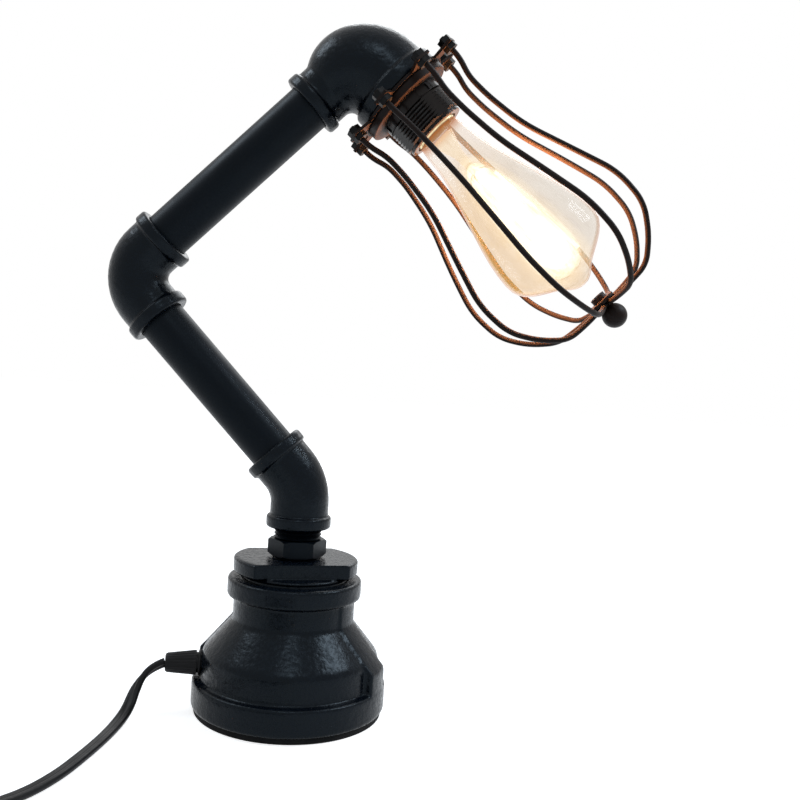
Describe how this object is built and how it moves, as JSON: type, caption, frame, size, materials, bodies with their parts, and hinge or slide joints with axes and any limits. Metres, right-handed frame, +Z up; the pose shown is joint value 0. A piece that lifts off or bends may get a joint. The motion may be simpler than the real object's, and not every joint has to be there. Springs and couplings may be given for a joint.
{
  "type": "pipe table lamp",
  "caption": "Industrial table lamp of black pipe fittings on a bell reducer base, with swivelling elbows and a wire cage round an amber bulb.",
  "frame": {"origin": "middle of the base pad's underside, on the table", "axes": "+Z up; the arm's plane is XZ: the lower pipe leans towards -X and the head reaches towards +X; -Y faces the viewer"},
  "size_m": [0.3203, 0.3174, 0.3847],
  "materials": {
    "black_iron": "satin black paint over cast iron",
    "black_steel": "satin black paint",
    "black_nuts": "black oxide",
    "zinc_steel": "zinc plated",
    "rubber": "matte",
    "relief_nylon": "moulded nylon",
    "socket_phenolic": "black phenolic",
    "brass": "plain brass",
    "bulb_cap": "brass cap",
    "bulb_insulator": "black glass insulator",
    "amber_glass": "clear amber glass",
    "stem_glass": "clear glass",
    "filament_glow": "lit filament rods",
    "support_wire": "plain wire",
    "cord_jacket": "black vinyl",
    "tie_plastic": "black strap",
    "switch_plastic": "black moulded",
    "rocker_plastic": "black moulded"
  },
  "bodies": {
    "root": {"base_pad": "rubber", "base_reducer": "black_iron", "strain_relief": "relief_nylon", "relief_locknut": "relief_nylon", "reducing_bushing": "black_iron", "hex_nipple": "black_steel", "lead_base": "cord_jacket", "cord_lead": "cord_jacket", "cord_link": "cord_jacket", "cord_tail": "cord_jacket", "cord_coil": "cord_jacket", "cord_tie": "tie_plastic", "switch_base": "switch_plastic", "switch_top": "switch_plastic", "switch_screws": "zinc_steel", "switch_terminals": "brass", "plug_body": "switch_plastic", "plug_blades": "brass"},
    "lower_arm": {"elbow_45": "black_iron", "lower_pipe": "black_steel", "lead_lower": "cord_jacket"},
    "upper_arm": {"elbow_90": "black_iron", "upper_pipe": "black_steel", "lead_upper": "cord_jacket"},
    "head": {"reducing_elbow": "black_iron", "mount_disc": "zinc_steel", "lamp_nipple": "zinc_steel", "lamp_locknuts": "zinc_steel", "socket_cap": "socket_phenolic", "socket_body": "socket_phenolic", "screw_shell": "brass", "centre_contact": "brass", "terminal_screws": "brass", "cage_collar": "black_steel", "shade_ring": "black_steel", "cage_nuts_upper": "black_nuts", "cage_nuts_lower": "black_nuts", "cage_rib_1": "black_steel", "cage_rib_2": "black_steel", "cage_rib_3": "black_steel", "cage_rib_4": "black_steel", "cage_rib_5": "black_steel", "cage_rib_6": "black_steel", "cage_rib_7": "black_steel", "cage_rib_8": "black_steel", "cage_hub": "black_steel", "ball_finial": "black_steel", "bulb_glass": "amber_glass", "bulb_contact": "brass", "bulb_insulator": "bulb_insulator", "bulb_shell": "bulb_cap", "bulb_stem": "stem_glass", "filaments": "filament_glow", "filament_supports": "support_wire", "lead_head": "cord_jacket"},
    "rocker": {"switch_rocker": "rocker_plastic"}
  },
  "joints": [
    {"name": "base_swivel", "type": "hinge", "parent": "root", "child": "lower_arm", "pos_m": [0, 0, 0.1286], "axis": [0, 0, 1], "range_deg": [-90, 90]},
    {"name": "elbow_swivel", "type": "hinge", "parent": "lower_arm", "child": "upper_arm", "pos_m": [-0.10684, 0, 0.23923], "axis": [-0.6947, 0, 0.7193], "range_deg": [-60, 60]},
    {"name": "head_swivel", "type": "hinge", "parent": "upper_arm", "child": "head", "pos_m": [0.02115, 0, 0.36722], "axis": [0.7071, 0, 0.7071], "range_deg": [-60, 60]},
    {"name": "switch_rocker_tilt", "type": "hinge", "parent": "root", "child": "rocker", "pos_m": [-0.11912, -0.18984, 0.011], "axis": [0.96, -0.28, 0], "range_deg": [0, 16]}
  ]
}
